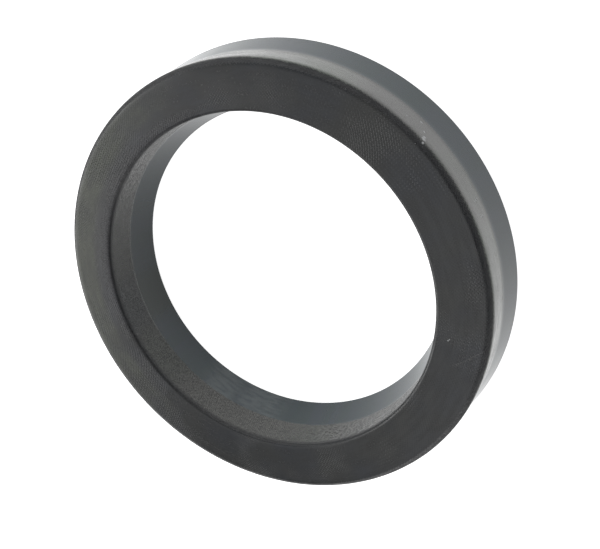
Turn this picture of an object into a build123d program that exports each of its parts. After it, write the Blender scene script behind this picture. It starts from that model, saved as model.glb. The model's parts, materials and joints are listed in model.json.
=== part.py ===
from build123d import *
import os

# A U cup seal: one moulded rubber ring that seals a rod or a piston.
# The heel is a solid band, reinforced with woven fabric, with a flat face on top.
# Below the heel two plain rubber lips stand either side of a U groove.
# The lips flare past the heel, so that they press on the rod and on the housing.
# The ring lies on its lips, heel up. The origin is on the axis at the lips' crests.
# All sizes are in millimetres.

# Heel
heel_bore_diameter = 70.0     # of the rod that runs through the heel
heel_width = 10.0             # across the heel, from its bore to its outside
heel_height = 8.0             # from the crease where the lips start up to the heel face
heel_corner_radius = 1.3      # on the heel face's inner and outer corners

# Lips
lip_height = 7.0              # from the lips' crests up to the crease
outer_lip_flare = 1.3         # how far the outer sealing edge stands out past the heel
inner_lip_flare = 1.7         # how far the inner sealing edge stands in past the heel bore
lip_end_thickness = 2.7       # from the sealing edge to the groove, across a lip's end
lip_bevel_height = 0.5        # from the crests up to the sealing edges
lip_bevel_width = 1.2         # across the bevel on each lip's end
crest_round_radius = 0.3      # on both edges of each lip's crest

# Groove between the lips
groove_depth = 6.5            # from the lips' crests up to the top of the groove
groove_floor_radius = 2.2     # of the round end of the groove

# Worked out from the sizes above
heel_bore_radius = heel_bore_diameter / 2
heel_outer_radius = heel_bore_radius + heel_width
overall_height = lip_height + heel_height
outer_edge_radius = heel_outer_radius + outer_lip_flare
inner_edge_radius = heel_bore_radius - inner_lip_flare
outer_mouth_radius = outer_edge_radius - lip_end_thickness
inner_mouth_radius = inner_edge_radius + lip_end_thickness
groove_floor_centre = (heel_bore_radius + heel_width / 2, groove_depth - groove_floor_radius)


def body_outline():
    """The section's outside: x is the radius and y is the height."""
    return make_face(
        Polyline(
            (heel_bore_radius, overall_height),
            (heel_outer_radius, overall_height),
            (heel_outer_radius, lip_height),
            (outer_edge_radius, lip_bevel_height),
            (outer_edge_radius - lip_bevel_width, 0),
            (inner_edge_radius + lip_bevel_width, 0),
            (inner_edge_radius, lip_bevel_height),
            (heel_bore_radius, lip_height),
            close=True,
        )
    )


def groove_outline():
    """The groove's section: flanks that run straight from the mouth and touch a round end."""
    floor_circle = Pos(*groove_floor_centre) * Circle(groove_floor_radius)
    mouth = Line((inner_mouth_radius, 0), (outer_mouth_radius, 0))
    return make_hull(floor_circle.edges() + mouth.edges())


def ring_section():
    """The seal's section, with its heel corners and lip crests rounded."""
    section = body_outline() - groove_outline()
    heel_corners = section.vertices().group_by(Axis.Y)[-1]
    section = fillet(heel_corners, heel_corner_radius)
    crest_edges = section.vertices().group_by(Axis.Y)[0]
    return fillet(crest_edges, crest_round_radius)


def seal_ring():
    """The section swept round the axis."""
    return revolve(Plane.XZ * ring_section(), Axis.Z)


os.makedirs("parts", exist_ok=True)
export_step(seal_ring(), "parts/seal_ring.step")
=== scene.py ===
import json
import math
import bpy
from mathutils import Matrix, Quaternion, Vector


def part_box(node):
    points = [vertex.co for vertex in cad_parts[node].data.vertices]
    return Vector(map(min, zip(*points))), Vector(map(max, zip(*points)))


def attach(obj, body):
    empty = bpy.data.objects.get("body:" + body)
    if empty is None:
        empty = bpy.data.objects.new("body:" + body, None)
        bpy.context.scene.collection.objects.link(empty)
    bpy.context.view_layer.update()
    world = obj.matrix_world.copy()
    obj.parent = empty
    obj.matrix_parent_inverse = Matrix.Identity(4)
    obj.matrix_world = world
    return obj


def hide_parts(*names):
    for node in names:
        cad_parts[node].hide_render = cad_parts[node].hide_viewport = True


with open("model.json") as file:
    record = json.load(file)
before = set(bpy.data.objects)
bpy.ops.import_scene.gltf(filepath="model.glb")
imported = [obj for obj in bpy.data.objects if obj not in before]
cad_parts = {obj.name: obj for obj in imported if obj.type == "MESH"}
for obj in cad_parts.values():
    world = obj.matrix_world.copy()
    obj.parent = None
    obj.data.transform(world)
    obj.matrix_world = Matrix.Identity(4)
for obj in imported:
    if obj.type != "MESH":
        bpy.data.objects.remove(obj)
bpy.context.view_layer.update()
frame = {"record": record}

# %% [markdown]
# # A fabric-heeled U cup seal
# The seal is one moulded ring. Its heel is woven cotton soaked in rubber, and its two lips are
# plain rubber, moulded on in the same press. The imported model gives its true size and place, so
# its radii and heights are read from it; the small sizes of the lips, groove and corners are
# given here. This script draws the same section again with the small roundings that the eye
# catches, turns it into a ring, and gives each half its own surface.

MM = 0.001
NODE = "seal_ring"
mounts = {mount["name"]: mount for mount in frame["record"]["mounts"]}
bore_mount = mounts["heel_bore"]

heel_bore_radius = bore_mount["dims"]["r_mm"] * MM
heel_outer_radius = mounts["heel_outside"]["dims"]["r_mm"] * MM
heel_middle_radius = (heel_bore_radius + heel_outer_radius) / 2
outer_edge_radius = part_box(NODE)[1].x
heel_face_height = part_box(NODE)[1].z
wall_length = bore_mount["dims"]["length_mm"] * MM
crease_height = bore_mount["pos_m"][2] - wall_length / 2
print("heel radii", heel_bore_radius, heel_outer_radius, "crease height", crease_height)

# %% [markdown]
# ## The lips, the groove and the corners
# On the real seal the lips flare so that they press on the rod and on the housing before any
# pressure comes. Each lip ends in a bevel, which leaves a crisp sealing edge. The groove between
# them lets the pressure spread the lips. The side that can't be seen is finished plainly. The
# heel's corner and the crease above the lip are soft outside and tighter in the bore, where the
# core of the mould is crisp.

# %% Name the sizes of the lips, the groove and the corners
inner_lip_flare = 1.7 * MM
inner_edge_radius = heel_bore_radius - inner_lip_flare
bevel_height = 0.5 * MM
bevel_width = 1.2 * MM
crest_round = 0.3 * MM
lip_end_thickness = 2.7 * MM
groove_floor_radius = 2.2 * MM
groove_depth = 6.5 * MM
outer_corner_round = 1.5 * MM
inner_corner_round = 0.7 * MM
outer_crease_blend = 0.9 * MM
inner_crease_blend = 0.3 * MM
print("lip edges at", inner_edge_radius, outer_edge_radius)

# %% [markdown]
# ## A pen for sections
# A turned shape is easiest to make as its maker does: draw the section once and turn it about the
# axis. The pen starts as a single point. Each stroke extrudes that point in short, even steps,
# because a ring with short edges shades cleanly. Round corners are drawn as arcs.


# %% Make the pen
def pen_down(name, point):
    """Starts a new object with a single point, in edit mode."""
    bpy.ops.object.select_all(action="DESELECT")
    bpy.ops.mesh.primitive_plane_add(size=MM, location=(0, 0, 0))
    bpy.context.object.name = name
    bpy.ops.object.mode_set(mode="EDIT")
    bpy.ops.mesh.select_all(action="SELECT")
    bpy.ops.mesh.merge(type="CENTER")
    bpy.ops.transform.translate(value=(point[0], 0, point[1]))
    return Vector((point[0], point[1]))


def draw_line(pen, point, step=0.6 * MM):
    """Draws a straight stroke from the pen's place (radius, height) to the point."""
    target = Vector(point)
    count = max(1, round((target - pen).length / step))
    leg = (target - pen) / count
    for _ in range(count):
        bpy.ops.mesh.extrude_region_move(TRANSFORM_OT_translate={"value": (leg.x, 0, leg.y)})
    return target


def draw_arc(pen, centre, degrees, count):
    """Draws an arc about the centre (radius, height), anticlockwise where degrees is above zero."""
    spoke = pen - Vector(centre)
    for number in range(1, count + 1):
        turn = math.radians(degrees) * number / count
        turned = Vector((
            spoke.x * math.cos(turn) - spoke.y * math.sin(turn),
            spoke.x * math.sin(turn) + spoke.y * math.cos(turn),
        ))
        pen = draw_line(pen, Vector(centre) + turned, step=1.0)
    return pen


# %% [markdown]
# ## The section
# The pen goes round the section from the middle of the heel face: over the outer corner, down the
# heel, through the soft crease where the lip starts, down the flared lip, and round its end.
# The groove is one smooth U: straight flanks that run into a round floor. The inner side mirrors
# the outer one with its own flare, so one function draws either side.


# %% Work out where the groove's flank meets its round floor
def flank_angle(mouth_offset):
    """The flank's tilt from upright, in radians, where it touches the groove's round floor."""
    floor_centre_height = groove_depth - groove_floor_radius
    reach = math.hypot(mouth_offset, floor_centre_height)
    return math.atan2(mouth_offset, floor_centre_height) - math.asin(groove_floor_radius / reach)


outer_mouth = outer_edge_radius - lip_end_thickness - heel_middle_radius
inner_mouth = heel_middle_radius - inner_edge_radius - lip_end_thickness
print("flank tilts", math.degrees(flank_angle(outer_mouth)), math.degrees(flank_angle(inner_mouth)))


# %% Draw the section
def side_points(sign):
    """The corner points of one side, as (radius, height): sign is 1 outside and -1 inside."""
    wall = heel_outer_radius if sign > 0 else heel_bore_radius
    edge = outer_edge_radius if sign > 0 else inner_edge_radius
    mouth = outer_mouth if sign > 0 else inner_mouth
    corner = outer_corner_round if sign > 0 else inner_corner_round
    tilt = flank_angle(mouth)
    floor_height = groove_depth - groove_floor_radius
    crest_rise = bevel_height * crest_round / bevel_width
    mouth_radius = heel_middle_radius + sign * (mouth - crest_round * math.sin(tilt))
    return {
        "corner_start": (wall - sign * corner, heel_face_height),
        "corner_centre": (wall - sign * corner, heel_face_height - corner),
        "corner_end": (wall, heel_face_height - corner),
        "edge": (edge, bevel_height),
        "crest_out": (edge - sign * (bevel_width - crest_round), crest_rise),
        "crest_mid_out": (edge - sign * (bevel_width + crest_round), 0),
        "crest_mid_in": (heel_middle_radius + sign * (mouth + crest_round), 0),
        "mouth": (mouth_radius, crest_round * math.cos(tilt)),
        "flank_end": (
            heel_middle_radius + sign * groove_floor_radius * math.cos(tilt),
            floor_height + groove_floor_radius * math.sin(tilt),
        ),
    }


def crease_points(sign):
    """A soft bend from the upright wall into the flared lip, as a curve of five points."""
    wall = heel_outer_radius if sign > 0 else heel_bore_radius
    edge = outer_edge_radius if sign > 0 else inner_edge_radius
    blend_length = outer_crease_blend if sign > 0 else inner_crease_blend
    spread = (edge - wall) / (crease_height - bevel_height) * blend_length
    shares = (0, 0.25, 0.5, 0.75, 1)
    return [(wall + spread * t * t, crease_height + blend_length * (1 - 2 * t)) for t in shares]


CORNER_STROKES = 8
FLOOR_STROKES = 12
MERGE_DISTANCE = 0.001 * MM
outer = side_points(1)
inner = side_points(-1)
floor_centre = (heel_middle_radius, groove_depth - groove_floor_radius)
floor_sweep = 180 - math.degrees(flank_angle(outer_mouth) + flank_angle(inner_mouth))

pen = pen_down("seal_skin", (heel_middle_radius, heel_face_height))
pen = draw_line(pen, outer["corner_start"])
pen = draw_arc(pen, outer["corner_centre"], -90, CORNER_STROKES)
for point in crease_points(1):
    pen = draw_line(pen, point)
for stop in ("edge", "crest_out", "crest_mid_out", "crest_mid_in", "mouth", "flank_end"):
    pen = draw_line(pen, outer[stop])
pen = draw_arc(pen, floor_centre, floor_sweep, FLOOR_STROKES)
for stop in ("mouth", "crest_mid_in", "crest_mid_out", "crest_out", "edge"):
    pen = draw_line(pen, inner[stop])
for point in reversed(crease_points(-1)):
    pen = draw_line(pen, point)
pen = draw_line(pen, inner["corner_end"])
pen = draw_arc(pen, inner["corner_centre"], -90, CORNER_STROKES)
pen = draw_line(pen, (heel_middle_radius, heel_face_height))
bpy.ops.mesh.select_all(action="SELECT")
bpy.ops.mesh.remove_doubles(threshold=MERGE_DISTANCE)
seal = bpy.context.object
seal.update_from_editmode()
print("section points", len(seal.data.vertices))

# %% [markdown]
# ## Turning the ring
# One turn about the axis makes the skin. The first and last sections fall on each other, so they
# are merged, and the skin is closed. The sealing edges stay crisp and all else shades smoothly.

# %% Turn the section into a ring
RING_STEPS = 720
CRISP_ANGLE = math.radians(40)
bpy.ops.mesh.select_all(action="SELECT")
bpy.ops.mesh.spin(steps=RING_STEPS, angle=math.tau, center=(0, 0, 0), axis=(0, 0, 1))
bpy.ops.mesh.select_all(action="SELECT")
bpy.ops.mesh.remove_doubles(threshold=MERGE_DISTANCE)
bpy.ops.mesh.normals_make_consistent(inside=False)
bpy.ops.object.mode_set(mode="OBJECT")
bpy.ops.object.shade_smooth_by_angle(angle=CRISP_ANGLE)
print("ring faces", len(seal.data.polygons), "size in mm", [round(side / MM, 2) for side in seal.dimensions])

# %% [markdown]
# ## Helpers for surfaces
# Both surfaces are worked out from the place of each point on the seal, in millimetres, so the
# pattern has its true scale. These helpers join the nodes, and read like plain sums.


# %% Make the surface helpers
def new_material(name):
    """An empty material with its principled shader, and the node tree to work in."""
    material = bpy.data.materials.new(name)
    material.use_nodes = True
    tree = material.node_tree
    return material, tree, tree.nodes["Principled BSDF"]


def feed(tree, socket, value):
    """Puts a number, or another node's output, into a socket."""
    if isinstance(value, bpy.types.NodeSocket):
        tree.links.new(value, socket)
    else:
        socket.default_value = value


def calc(tree, operation, first, second=0.0, third=0.0):
    """One step of arithmetic."""
    node = tree.nodes.new("ShaderNodeMath")
    node.operation = operation
    for socket, value in zip(node.inputs, (first, second, third)):
        feed(tree, socket, value)
    return node.outputs[0]


def times(tree, first, second):
    """The product of two values."""
    return calc(tree, "MULTIPLY", first, second)


def largest(tree, first, *others):
    """The largest of several values."""
    for other in others:
        first = calc(tree, "MAXIMUM", first, other)
    return first


def remap(tree, value, low, high, to_low=0.0, to_high=1.0):
    """Moves a value from one range to another, with soft ends."""
    node = tree.nodes.new("ShaderNodeMapRange")
    node.interpolation_type = "SMOOTHSTEP"
    for socket, number in zip(node.inputs[:5], (value, low, high, to_low, to_high)):
        feed(tree, socket, number)
    return node.outputs[0]


def near(tree, value, centre, half, soft):
    """A band mask: 1 within half of the centre, and 0 beyond that and the soft edge."""
    away = calc(tree, "ABSOLUTE", calc(tree, "SUBTRACT", value, centre))
    return remap(tree, away, half, half + soft, 1.0, 0.0)


def blend(tree, share, first, second):
    """Mixes two colours by a share from 0 to 1."""
    node = tree.nodes.new("ShaderNodeMix")
    node.data_type = "RGBA"
    feed(tree, node.inputs[0], share)
    feed(tree, node.inputs[6], first)
    feed(tree, node.inputs[7], second)
    return node.outputs[2]


def noise(tree, place, scale, detail=2.0, roughness=0.5):
    """Cloudy variation from 0 to 1: scale is in patches for each millimetre."""
    node = tree.nodes.new("ShaderNodeTexNoise")
    feed(tree, node.inputs["Vector"], place)
    feed(tree, node.inputs["Scale"], scale)
    feed(tree, node.inputs["Detail"], detail)
    feed(tree, node.inputs["Roughness"], roughness)
    return node.outputs[0]


def join_place(tree, x, y, z):
    """Three numbers as one place."""
    node = tree.nodes.new("ShaderNodeCombineXYZ")
    for socket, value in zip(node.inputs, (x, y, z)):
        feed(tree, socket, value)
    return node.outputs[0]


def bump(tree, height, distance, below=None):
    """Turns a height into relief: distance is the depth in metres at a height of 1."""
    node = tree.nodes.new("ShaderNodeBump")
    feed(tree, node.inputs["Distance"], distance)
    feed(tree, node.inputs["Height"], height)
    if below is not None:
        feed(tree, node.inputs["Normal"], below)
    return node.outputs[0]


# %% [markdown]
# ## Places on the ring
# The weave follows the ring, so it is drawn in the ring's own measures: the way round it, and the
# way across its section, which runs up the bore, over the heel face and down the outside. The
# way across is zero at the middle of the heel face.


# %% Measure places round and across the ring
half_width = (heel_outer_radius - heel_bore_radius) / 2 / MM


def ring_places(tree):
    """The place in millimetres, the angle, the way round, the way across and the height."""
    source = tree.nodes.new("ShaderNodeTexCoord").outputs["Object"]
    scaled = tree.nodes.new("ShaderNodeVectorMath")
    scaled.operation = "SCALE"
    feed(tree, scaled.inputs[0], source)
    feed(tree, scaled.inputs["Scale"], 1 / MM)
    place = scaled.outputs[0]
    split = tree.nodes.new("ShaderNodeSeparateXYZ")
    feed(tree, split.inputs[0], place)
    x, y, z = split.outputs
    radius = calc(tree, "SQRT", calc(tree, "ADD", times(tree, x, x), times(tree, y, y)))
    middle = heel_middle_radius / MM
    angle = calc(tree, "ARCTAN2", y, x)
    offset = calc(tree, "SUBTRACT", radius, middle)
    drop = calc(tree, "SUBTRACT", heel_face_height / MM, z)
    return {
        "place": place,
        "angle": angle,
        "degrees": times(tree, angle, math.degrees(1.0)),
        "around": times(tree, angle, middle),
        "across": calc(tree, "ADD", offset, times(tree, calc(tree, "SIGN", offset), drop)),
        "height": z,
    }


print("half the heel's width in mm", half_width)

# %% [markdown]
# ## The woven heel
# The heel is built from strips of rubbered cotton, cut on the bias so that they bend round the
# ring. Their threads cross at 45 degrees to the way round, about 0.45 mm apart, and the mould
# prints them through the rubber. Each thread rises over one neighbour and dips under the next, so
# the height is the higher of two sets of ridges that take turns. A slow wander keeps the threads
# from running dead straight.

# %% Make the print of the weave
WEAVE_COUNT = 395
WEAVE_WANDER = 2.4
thread_pitch = math.tau * heel_middle_radius / MM / (math.sqrt(2) * WEAVE_COUNT)
print("thread pitch in mm", round(thread_pitch, 3))


def thread_ridge(tree, cross, along, parity):
    """One set of threads: round ridges across, which rise and dip along their length."""
    ridge = calc(tree, "ABSOLUTE", calc(tree, "SINE", times(tree, cross, math.pi)))
    column = calc(tree, "FLOOR", cross)
    phase = calc(tree, "ADD", calc(tree, "SUBTRACT", along, 0.5), calc(tree, "ADD", column, parity))
    wave = calc(tree, "COSINE", times(tree, phase, math.pi))
    rise = calc(tree, "MULTIPLY_ADD", wave, 0.5, 0.5)
    return times(tree, ridge, rise)


def weave_height(tree, ring):
    """The height of a plain weave, from 0 in the gaps to 1 on top of the threads."""
    wander = noise(tree, ring["place"], 0.12, 2.0)
    shift = calc(tree, "MULTIPLY_ADD", wander, WEAVE_WANDER, -WEAVE_WANDER / 2)
    step = math.sqrt(2) * thread_pitch
    along = calc(tree, "DIVIDE", calc(tree, "ADD", ring["around"], ring["across"]), step)
    cross = calc(tree, "DIVIDE", calc(tree, "SUBTRACT", ring["around"], ring["across"]), step)
    along = calc(tree, "ADD", along, shift)
    cross = calc(tree, "ADD", cross, shift)
    warp = thread_ridge(tree, cross, along, 0.0)
    weft = thread_ridge(tree, along, cross, 1.0)
    return calc(tree, "MAXIMUM", warp, weft)


# %% [markdown]
# ## Where the cloth shows
# The print is deep down the bore and round both corners, where the cloth is pulled tight over the
# core of the mould. Over the face it is faint and comes and goes. The outside is almost smooth.
# The corners are darkened, partly as painted shade and partly as cloth a little starved of rubber,
# and their edges look slightly toothed. Many small pits in the bore are painted dark as shade. On
# one side the cloth was pulled hardest, and there these pits and a stain reach over the corner on
# to the face.

# %% Work out the zones of the heel
HARD_PULL = (24.0, 30.0, 40.0)


def heel_zones(tree, ring, grain):
    """Masks from 0 to 1 for the weave, the bore, the corners, the print and the dark dots."""
    across = ring["across"]
    place = ring["place"]
    weave = weave_height(tree, ring)
    teeth = calc(tree, "MULTIPLY_ADD", noise(tree, place, 1.3, 1.0), 0.9, across)
    toothed = calc(tree, "MULTIPLY_ADD", weave, 0.8, teeth)
    bore = remap(tree, across, -half_width + 0.6, -half_width - 0.6)
    # The corner masks also darken the corners' colour, partly as painted shade.
    inner_corner = near(tree, toothed, -half_width + 0.35, 0.5, 0.2)
    outer_corner = near(tree, toothed, half_width + 0.95, 0.6, 0.4)
    corner = calc(tree, "MAXIMUM", inner_corner, outer_corner)

    hard_pull = near(tree, ring["degrees"], *HARD_PULL)
    pulled = times(tree, near(tree, across, 1.3 - half_width, 0.8, 0.8), hard_pull)
    patches = remap(tree, noise(tree, place, 0.09, 2.0), 0.42, 0.66)
    face = remap(tree, across, half_width - 0.4, half_width + 0.6, 1.0, 0.25)
    face_print = times(tree, face, calc(tree, "MULTIPLY_ADD", patches, 0.4, 0.15))
    depth = largest(tree, face_print, times(tree, pulled, 0.4), times(tree, bore, 0.9), corner)
    worn = times(tree, depth, remap(tree, grain, 0.3, 0.6, 0.45, 1.0))

    dots = remap(tree, noise(tree, place, 1.9, 1.0), 0.51, 0.58)
    stained = times(tree, near(tree, across, 0.8 - half_width, 0.4, 1.0), hard_pull)
    nibbled = remap(tree, noise(tree, place, 1.15, 2.0), 0.54, 0.62)
    return {
        "weave": weave,
        "bore": bore,
        "corner": corner,
        "depth": depth,
        "worn": worn,
        # The gaps' mask also darkens the colour: painted shade in the weave's gaps.
        "gaps": times(tree, remap(tree, weave, 0.15, 0.65, 1.0, 0.0), worn),
        # The dark dots are pits, and their dark colour is painted shade.
        "pits with painted shade": times(tree, calc(tree, "MAXIMUM", pulled, times(tree, bore, 0.7)), dots),
        "stained": times(tree, stained, remap(tree, grain, 0.35, 0.6)),
        # The nibbled dents are also painted dark as shade.
        "nibbled": times(tree, nibbled, near(tree, across, half_width - 0.1, 0.35, 0.6)),
    }


# %% [markdown]
# ## Small marks
# A used seal picks up a few specks of lint and one or two nicks. Each speck is a soft dot at a
# place on the skin, named by its angle, radius and height. The heel's strip was joined on the
# bias, so the join shows as a short fine line that slants across the face. Where the heel ends at
# the lip a thin pale line is painted along its edge as a highlight, strongest on one side of the
# bore.

# %% Name the specks and the join
SPECKS = (
    (273.2, 45.1, 8.6, 0.42),
    (271.2, 45.1, 10.8, 0.36),
    (270.1, 45.0, 13.2, 0.62),
    (270.3, 45.0, 12.5, 0.50),
    (269.6, 44.9, 14.2, 0.34),
    (269.0, 44.7, 14.8, 0.32),
    (271.7, 44.3, 15.0, 0.19),
    (270.6, 44.1, 15.0, 0.17),
    (276.4, 45.1, 10.8, 0.26),
    (252.2, 45.1, 10.1, 0.32),
    (252.3, 45.1, 9.4, 0.36),
    (252.4, 45.1, 8.6, 0.30),
    (248.6, 45.1, 10.3, 0.30),
    (248.5, 45.1, 9.6, 0.34),
    (218.9, 37.9, 15.0, 0.13),
    (218.5, 37.7, 15.0, 0.15),
    (227.6, 44.5, 14.9, 0.16),
)
JOIN_OFFSET = -102.8
# The painted highlight along the heel's lower edge: where it is strongest, in degrees, and its share
# elsewhere.
EDGE_HIGHLIGHT = (30.0, 32.0, 36.0)
LEAST_HIGHLIGHT = 0.12


def speck_mask(tree, place):
    """1 on the specks of lint and 0 elsewhere."""
    mask = 0.0
    for degrees, radius, height, size in SPECKS:
        turn = math.radians(degrees)
        node = tree.nodes.new("ShaderNodeVectorMath")
        node.operation = "DISTANCE"
        feed(tree, node.inputs[0], place)
        feed(tree, node.inputs[1], (radius * math.cos(turn), radius * math.sin(turn), height))
        dot = remap(tree, node.outputs["Value"], size * 0.4, size, 1.0, 0.0)
        mask = calc(tree, "MAXIMUM", mask, dot)
    return mask


def join_mask(tree, ring):
    """1 on the slanting join of the strip, with soft ends, and 0 elsewhere."""
    slant = calc(tree, "SUBTRACT", ring["around"], ring["across"])
    wobble = calc(tree, "MULTIPLY_ADD", noise(tree, ring["place"], 0.5, 2.0), 0.8, slant)
    line = near(tree, wobble, JOIN_OFFSET, 0.04, 0.16)
    return times(tree, line, near(tree, ring["across"], 2.2, 1.8, 1.4))


def edge_highlight_mask(tree, ring):
    """The painted highlight along the edge just above the crease: up to 1 where it is strongest."""
    heel_edge = half_width + (heel_face_height - crease_height) / MM - 0.15
    edge = near(tree, calc(tree, "ABSOLUTE", ring["across"]), heel_edge, 0.12, 0.28)
    highlight = calc(tree, "MAXIMUM", near(tree, ring["degrees"], *EDGE_HIGHLIGHT), LEAST_HIGHLIGHT)
    return times(tree, edge, highlight)


print("specks", len(SPECKS))

# %% [markdown]
# ## The colours of the heel
# The rubber is a satin charcoal. A haze of wax, called bloom, has come to the surface over part of
# the face, which turns it paler and a little olive; it is laid on strongest on one side, and there
# it is also a painted sheen. Smudges run round the ring where it was handled. The bore is greyer,
# partly in its own colour and partly as painted reflection, with one pale patch of painted
# reflection and one dark patch of painted shade. The weave's gaps, the pits and the dents near the
# outer corner are painted dark as shade, the corners partly so, and a thin pale line along the
# heel's lower edge is a painted highlight. The colours are laid over one another from the plain
# rubber up to the lint, each by its own mask.

# %% Lay the heel's colours over one another
HEEL_TONES = {
    "cool": (0.0225, 0.025, 0.0295, 1),
    "warm": (0.0265, 0.0275, 0.0265, 1),
    # This paler olive is bloom, laid on strongest on one side, where it is also a painted sheen.
    "bloom and painted sheen": (0.051, 0.058, 0.038, 1),
    "smudge": (0.012, 0.0125, 0.013, 1),
    "outside olive": (0.026, 0.036, 0.024, 1),
    "outside grey": (0.030, 0.031, 0.028, 1),
    # The bore's olive and grey are partly its own colour and partly painted reflection.
    "bore olive": (0.043, 0.050, 0.040, 1),
    "bore grey": (0.047, 0.048, 0.044, 1),
    # This pale grey is a painted reflection on one stretch of the bore.
    "bore painted reflection": (0.085, 0.086, 0.078, 1),
    # This dark colour is painted shade on one stretch of the bore.
    "bore painted shade": (0.014, 0.022, 0.023, 1),
    "stain": (0.013, 0.011, 0.018, 1),
    # This dark colour is painted shade in the pits.
    "pits with painted shade": (0.005, 0.005, 0.008, 1),
    # This dark colour is painted shade in the weave's gaps.
    "painted gap shade": (0.004, 0.004, 0.005, 1),
    # This dark colour on the corners is partly painted shade.
    "corner": (0.003, 0.004, 0.006, 1),
    # This dark colour is painted shade in the dents near the outer corner.
    "painted nibble shade": (0.005, 0.005, 0.007, 1),
    "join": (0.005, 0.005, 0.006, 1),
    # This pale colour is a painted highlight along the heel's lower edge.
    "rubbed": (0.125, 0.135, 0.132, 1),
    "lint": (0.45, 0.46, 0.47, 1),
}
# The side of the face where the bloom's painted sheen is strongest.
PAINTED_SHEEN_SIDE = math.radians(40)


def layer(tree, tone, mask, strength, name):
    """Lays a named colour over the tone below it."""
    return blend(tree, times(tree, mask, strength), tone, HEEL_TONES[name])


def bloom_and_painted_sheen_mask(tree, ring):
    """Cloudy patches of bloom, strongest on one side of the face, where they are also a painted sheen."""
    side = calc(tree, "COSINE", calc(tree, "SUBTRACT", ring["angle"], PAINTED_SHEEN_SIDE))
    cloud = noise(tree, ring["place"], 0.16, 3.0, 0.6)
    drift = calc(tree, "MULTIPLY_ADD", cloud, 1.1, calc(tree, "SUBTRACT", side, 0.55))
    return times(tree, remap(tree, drift, 0.3, 1.1), near(tree, ring["across"], 1.7, 1.6, 2.2))


def smudge_mask(tree, ring):
    """Smudges drawn out along the ring."""
    round_way = times(tree, ring["around"], 0.16)
    rubbed = join_place(tree, round_way, times(tree, ring["across"], 0.8), 0.0)
    return remap(tree, noise(tree, rubbed, 1.0, 4.0, 0.62), 0.36, 0.66)


def wall_tone(tree, ring, zones, clouds, grain):
    """The colour of the upright walls: an olive grey outside, and in the bore a paler grey, partly painted
    reflection, with a patch of painted reflection and one of painted shade.
    """
    share = remap(tree, clouds, 0.4, 0.6)
    outside = blend(tree, share, HEEL_TONES["outside olive"], HEEL_TONES["outside grey"])
    inside = blend(tree, share, HEEL_TONES["bore olive"], HEEL_TONES["bore grey"])
    # A pale patch of painted reflection on one stretch of the bore.
    bore_reflection_share = near(tree, ring["degrees"], 120.0, 14.0, 16.0)
    bore_reflection_share = times(tree, bore_reflection_share, remap(tree, grain, 0.3, 0.6, 0.5, 1.0))
    inside = blend(tree, bore_reflection_share, inside, HEEL_TONES["bore painted reflection"])
    # A dark patch of painted shade on one stretch of the bore.
    painted_shade = near(tree, ring["degrees"], 63.0, 5.0, 9.0)
    inside = blend(tree, painted_shade, inside, HEEL_TONES["bore painted shade"])
    return blend(tree, zones["bore"], outside, inside)


def heel_tone(tree, ring, zones, marks, grain):
    """All the colours of the heel, from the plain rubber up to the lint."""
    clouds = noise(tree, ring["place"], 0.07, 3.0, 0.55)
    tone = blend(tree, remap(tree, clouds, 0.35, 0.65), HEEL_TONES["cool"], HEEL_TONES["warm"])
    # Bloom, strongest on one side, where it is also a painted sheen.
    tone = layer(tree, tone, marks["bloom and painted sheen"], 0.8, "bloom and painted sheen")
    tone = layer(tree, tone, marks["smudges"], 0.5, "smudge")
    side = calc(tree, "ABSOLUTE", ring["across"])
    on_walls = remap(tree, side, half_width - 0.2, half_width + 0.8)
    tone = blend(tree, on_walls, tone, wall_tone(tree, ring, zones, clouds, grain))
    tone = layer(tree, tone, zones["stained"], 0.5, "stain")
    # Pits painted dark as shade.
    tone = layer(tree, tone, zones["pits with painted shade"], 0.75, "pits with painted shade")
    # The weave's gaps, painted dark as shade.
    tone = layer(tree, tone, zones["gaps"], 0.9, "painted gap shade")
    # The corners, painted dark partly as shade.
    tone = layer(tree, tone, zones["corner"], 0.85, "corner")
    # Dents near the outer corner, painted dark as shade.
    tone = layer(tree, tone, zones["nibbled"], 0.8, "painted nibble shade")
    tone = layer(tree, tone, marks["join"], 0.5, "join")
    # A thin pale line painted along the heel's lower edge as a highlight.
    tone = layer(tree, tone, marks["edge highlight"], 1.0, "rubbed")
    return layer(tree, tone, marks["specks"], 0.85, "lint")


print("heel colours", len(HEEL_TONES))

# %% [markdown]
# ## The gloss and relief of the heel
# Clean rubber shines more than rubber with bloom or smudges on it, and starved corners are dull.
# The cloth's gaps are pressed in below the tops of the threads, so the tops stay flat and keep
# their shine. The relief is so shallow that it is left to the surface, and not cut in the mesh.

# %% Make the woven heel's surface
PRINT_DEPTH = 0.09 * MM
GRAIN_DEPTH = 0.010 * MM
MARK_DEPTH = 0.04 * MM
RUBBER_IOR = 1.5


def heel_gloss(tree, ring, zones, marks, grain):
    """How rough the heel is: satin, duller in the gaps and on the corners."""
    across = ring["across"]
    haze = calc(tree, "MULTIPLY_ADD", marks["smudges"], 0.3, grain)
    haze = calc(tree, "ADD", times(tree, marks["bloom and painted sheen"], 0.4), haze)
    satin = remap(tree, haze, 0.2, 1.3, 0.11, 0.36)
    satin = times(tree, satin, remap(tree, zones["bore"], 0.0, 1.0, 1.0, 0.6))
    handled = times(tree, remap(tree, across, half_width + 1.0, half_width + 3.4, 1.0, 0.0), 0.2)
    handled = times(tree, handled, remap(tree, across, half_width - 0.2, half_width + 0.8))
    dark_dots = calc(tree, "MAXIMUM", zones["gaps"], zones["pits with painted shade"])
    dull = calc(tree, "MAXIMUM", times(tree, dark_dots, zones["bore"]), zones["corner"])
    rough = calc(tree, "MULTIPLY_ADD", dull, 0.35, calc(tree, "ADD", satin, handled))
    return calc(tree, "MULTIPLY_ADD", marks["specks"], 0.4, rough)


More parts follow.
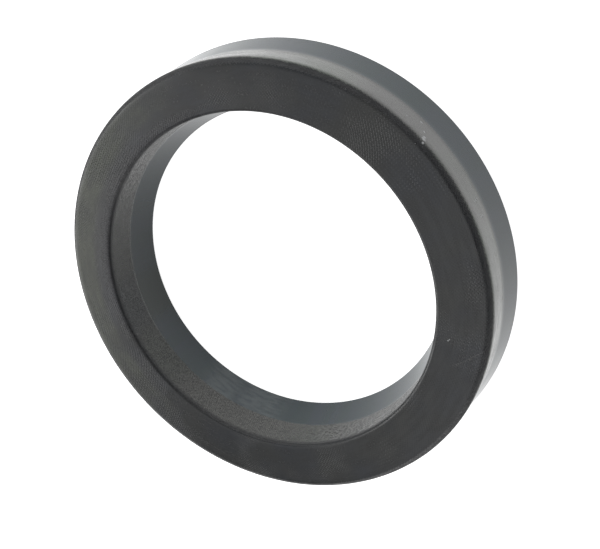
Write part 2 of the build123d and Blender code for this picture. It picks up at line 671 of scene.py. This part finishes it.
def heel_relief(tree, zones, marks, grain):
    """The print of the cloth, a fine grain, and the specks and dents on top."""
    prints = times(tree, remap(tree, zones["weave"], 0.0, 0.6, -1.0, 0.0), zones["worn"])
    relief = bump(tree, prints, PRINT_DEPTH)
    fine = times(tree, grain, calc(tree, "MULTIPLY_ADD", zones["depth"], 0.8, 0.1))
    relief = bump(tree, fine, GRAIN_DEPTH, relief)
    dots = times(tree, zones["pits with painted shade"], zones["bore"])
    dents = largest(tree, marks["join"], zones["nibbled"], dots)
    return bump(tree, calc(tree, "SUBTRACT", marks["specks"], dents), MARK_DEPTH, relief)


def woven_heel():
    """Satin charcoal rubber with the print of the cloth, bloom, specks and a join in it, and painted shade,
    sheen, highlight and reflection.
    """
    material, tree, shader = new_material("woven_heel")
    ring = ring_places(tree)
    grain = noise(tree, ring["place"], 2.4, 3.0, 0.6)
    zones = heel_zones(tree, ring, grain)
    marks = {
        "bloom and painted sheen": bloom_and_painted_sheen_mask(tree, ring),
        "smudges": smudge_mask(tree, ring),
        "join": join_mask(tree, ring),
        "edge highlight": edge_highlight_mask(tree, ring),
        "specks": speck_mask(tree, ring["place"]),
    }
    feed(tree, shader.inputs["Base Color"], heel_tone(tree, ring, zones, marks, grain))
    feed(tree, shader.inputs["Roughness"], heel_gloss(tree, ring, zones, marks, grain))
    feed(tree, shader.inputs["Normal"], heel_relief(tree, zones, marks, grain))
    shader.inputs["IOR"].default_value = RUBBER_IOR
    print("heel surface nodes", len(tree.nodes))
    return material


# %% [markdown]
# ## The smooth lips
# The lips are plain rubber from a polished mould, smoother and bluer than the heel. Faint turned
# lines from the mould run round them, and soft clouds of teal and blue. Two patches on the inner
# lip are painted pale as reflection, drawn out along the ring, and one stretch of the lips is
# painted dark as shade.

# %% Make the lips' surface
LIP_TONES = {
    "teal": (0.006, 0.025, 0.030, 1),
    "blue": (0.012, 0.026, 0.039, 1),
    # This dark colour is painted shade on one stretch of the lips.
    "painted_shade": (0.002, 0.014, 0.012, 1),
    # This pale colour is a painted reflection on the inner lip.
    "haze": (0.068, 0.086, 0.092, 1),
}
LINE_DEPTH = 0.005 * MM


def lip_painted_reflection(tree, ring):
    """Two patches of painted reflection on the inner lip, drawn out along the ring."""
    degrees = ring["degrees"]
    reflection_share = calc(tree, "MAXIMUM", near(tree, degrees, 109.0, 2.0, 9.0), near(tree, degrees, 124.0, 3.0, 11.0))
    along_ring_place = join_place(tree, times(tree, ring["around"], 0.3), ring["across"], 0.0)
    reflection_share = times(tree, reflection_share, remap(tree, noise(tree, along_ring_place, 1.0, 3.0), 0.3, 0.65, 0.25, 1.0))
    return times(tree, reflection_share, remap(tree, ring["across"], 0.0, -1.0))


def lip_rubber():
    """Smooth, faintly blue-grey black rubber."""
    material, tree, shader = new_material("lip_rubber")
    ring = ring_places(tree)
    round_way = times(tree, ring["around"], 0.22)
    streaks = join_place(tree, round_way, times(tree, ring["height"], 0.05), 0.0)
    clouds = remap(tree, noise(tree, streaks, 1.0, 3.0, 0.6), 0.35, 0.65)
    tone = blend(tree, clouds, LIP_TONES["teal"], LIP_TONES["blue"])
    # One stretch of the lips, painted dark as shade.
    tone = blend(tree, near(tree, ring["degrees"], 64.0, 5.0, 9.0), tone, LIP_TONES["painted_shade"])
    # Two patches of painted reflection on the inner lip.
    tone = blend(tree, lip_painted_reflection(tree, ring), tone, LIP_TONES["haze"])
    feed(tree, shader.inputs["Base Color"], tone)
    turned = join_place(tree, ring["across"], times(tree, ring["angle"], 0.6), 0.0)
    lines = noise(tree, turned, 3.0, 2.0)
    satin = remap(tree, lines, 0.3, 0.7, 0.06, 0.1)
    feed(tree, shader.inputs["Roughness"], calc(tree, "MULTIPLY_ADD", clouds, 0.09, satin))
    feed(tree, shader.inputs["Normal"], bump(tree, lines, LINE_DEPTH))
    shader.inputs["IOR"].default_value = RUBBER_IOR
    print("lip surface nodes", len(tree.nodes))
    return material


# %% [markdown]
# ## Dressing the ring
# Everything above the crease is heel, and everything below it is lip or groove. The skin stands
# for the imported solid, which stays in place for the physics.

# %% Give each face its surface
HEEL_SLOT = 0
LIP_SLOT = 1
seal.data.materials.append(woven_heel())
seal.data.materials.append(lip_rubber())
for face in seal.data.polygons:
    face.material_index = LIP_SLOT if face.center.z < crease_height else HEEL_SLOT
heel_faces = sum(1 for face in seal.data.polygons if face.material_index == HEEL_SLOT)
print("heel faces", heel_faces, "lip faces", len(seal.data.polygons) - heel_faces)

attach(seal, "root")
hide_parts(NODE)

# %% [markdown]
# ## The table
# The seal lies on its lips on a plain white table, heel up. The table glows a little for the camera
# and in what the rubber mirrors, so that it is white and still keeps a faint shadow.

# %% Lay the table
TABLE_SIZE = 4.0
TABLE_TONE = (0.9, 0.9, 0.9, 1)
TABLE_GLOW = 0.9
MIRRORED_GLOW = 0.85
bpy.ops.object.select_all(action="DESELECT")
bpy.ops.mesh.primitive_plane_add(size=TABLE_SIZE, location=(0, 0, 0))
table = bpy.context.object
table.name = "table"
table_paper, table_tree, table_shader = new_material("table_paper")
table_shader.inputs["Base Color"].default_value = TABLE_TONE
table_shader.inputs["Roughness"].default_value = 1.0
table_shader.inputs["Specular IOR Level"].default_value = 0.0
ray = table_tree.nodes.new("ShaderNodeLightPath")
mirrored = times(table_tree, ray.outputs["Is Glossy Ray"], MIRRORED_GLOW)
seen = calc(table_tree, "MULTIPLY_ADD", ray.outputs["Is Camera Ray"], TABLE_GLOW, mirrored)
feed(table_tree, table_shader.inputs["Emission Strength"], seen)
table_shader.inputs["Emission Color"].default_value = (1, 1, 1, 1)
table.data.materials.append(table_paper)
print("table side in metres", TABLE_SIZE)

# %% [markdown]
# ## Light
# Black rubber shows mostly what it mirrors, so the light is a room with soft windows: low ones at
# the back and to the sides, more of them a little higher, and dim ones overhead. Hardly any
# light comes from behind the camera. Each window is given by its azimuth and height in degrees,
# and its strength.

# %% Light the room
ROOM_GLOW = 0.08
WINDOW_REACH = math.radians(30)
WINDOWS = (
    (90, 12, 0.9),
    (150, 12, 2.0),
    (300, 12, 1.2),
    (330, 12, 2.2),
    (0, 30, 0.9),
    (30, 30, 0.8),
    (60, 30, 3.0),
    (330, 30, 0.5),
    (72, 52, 0.3),
    (144, 52, 0.75),
    (0, 72, 0.25),
    (120, 72, 0.5),
    (240, 72, 0.6),
)
world = bpy.data.worlds.new("soft_room")
bpy.context.scene.world = world
world.use_nodes = True
sky = world.node_tree
direction = sky.nodes.new("ShaderNodeTexCoord").outputs["Generated"]
glow = ROOM_GLOW
for azimuth, height, strength in WINDOWS:
    flat = math.cos(math.radians(height))
    turn = math.radians(azimuth)
    centre = (flat * math.cos(turn), flat * math.sin(turn), math.sin(math.radians(height)))
    node = sky.nodes.new("ShaderNodeVectorMath")
    node.operation = "DOT_PRODUCT"
    feed(sky, node.inputs[0], direction)
    feed(sky, node.inputs[1], centre)
    window = remap(sky, node.outputs["Value"], math.cos(WINDOW_REACH), 1.0, 0.0, strength)
    glow = calc(sky, "ADD", glow, window)
background = sky.nodes["Background"]
background.inputs["Color"].default_value = (1, 1, 1, 1)
feed(sky, background.inputs["Strength"], glow)
print("windows", len(WINDOWS))

# %% [markdown]
# ## The camera
# The camera looks down on the heel from the front, rolled well over, as when it is held by hand.
# A small shift puts the ring in its place in the frame without turning the camera.

# %% Place the camera
camera_data = bpy.data.cameras.new("camera")
camera = bpy.data.objects.new("camera", camera_data)
bpy.context.scene.collection.objects.link(camera)
camera_place = Vector((0, -103.27, 158.55)) * MM
camera_aim = Vector((16.21, -3.69, 15.0)) * MM
camera_roll = math.radians(-123.99)
camera_data.lens = 53.94
camera_data.shift_x = 0.1434
camera_data.shift_y = -0.1002
camera.location = camera_place
look = (camera_aim - camera_place).to_track_quat("-Z", "Y")
camera.rotation_mode = "QUATERNION"
camera.rotation_quaternion = look @ Quaternion((0, 0, 1), camera_roll)
camera_data.clip_start = 0.01
bpy.context.scene.camera = camera
bpy.context.scene.view_settings.view_transform = "Standard"
print("camera at", [round(c / MM, 2) for c in camera_place], "mm, lens", camera_data.lens)
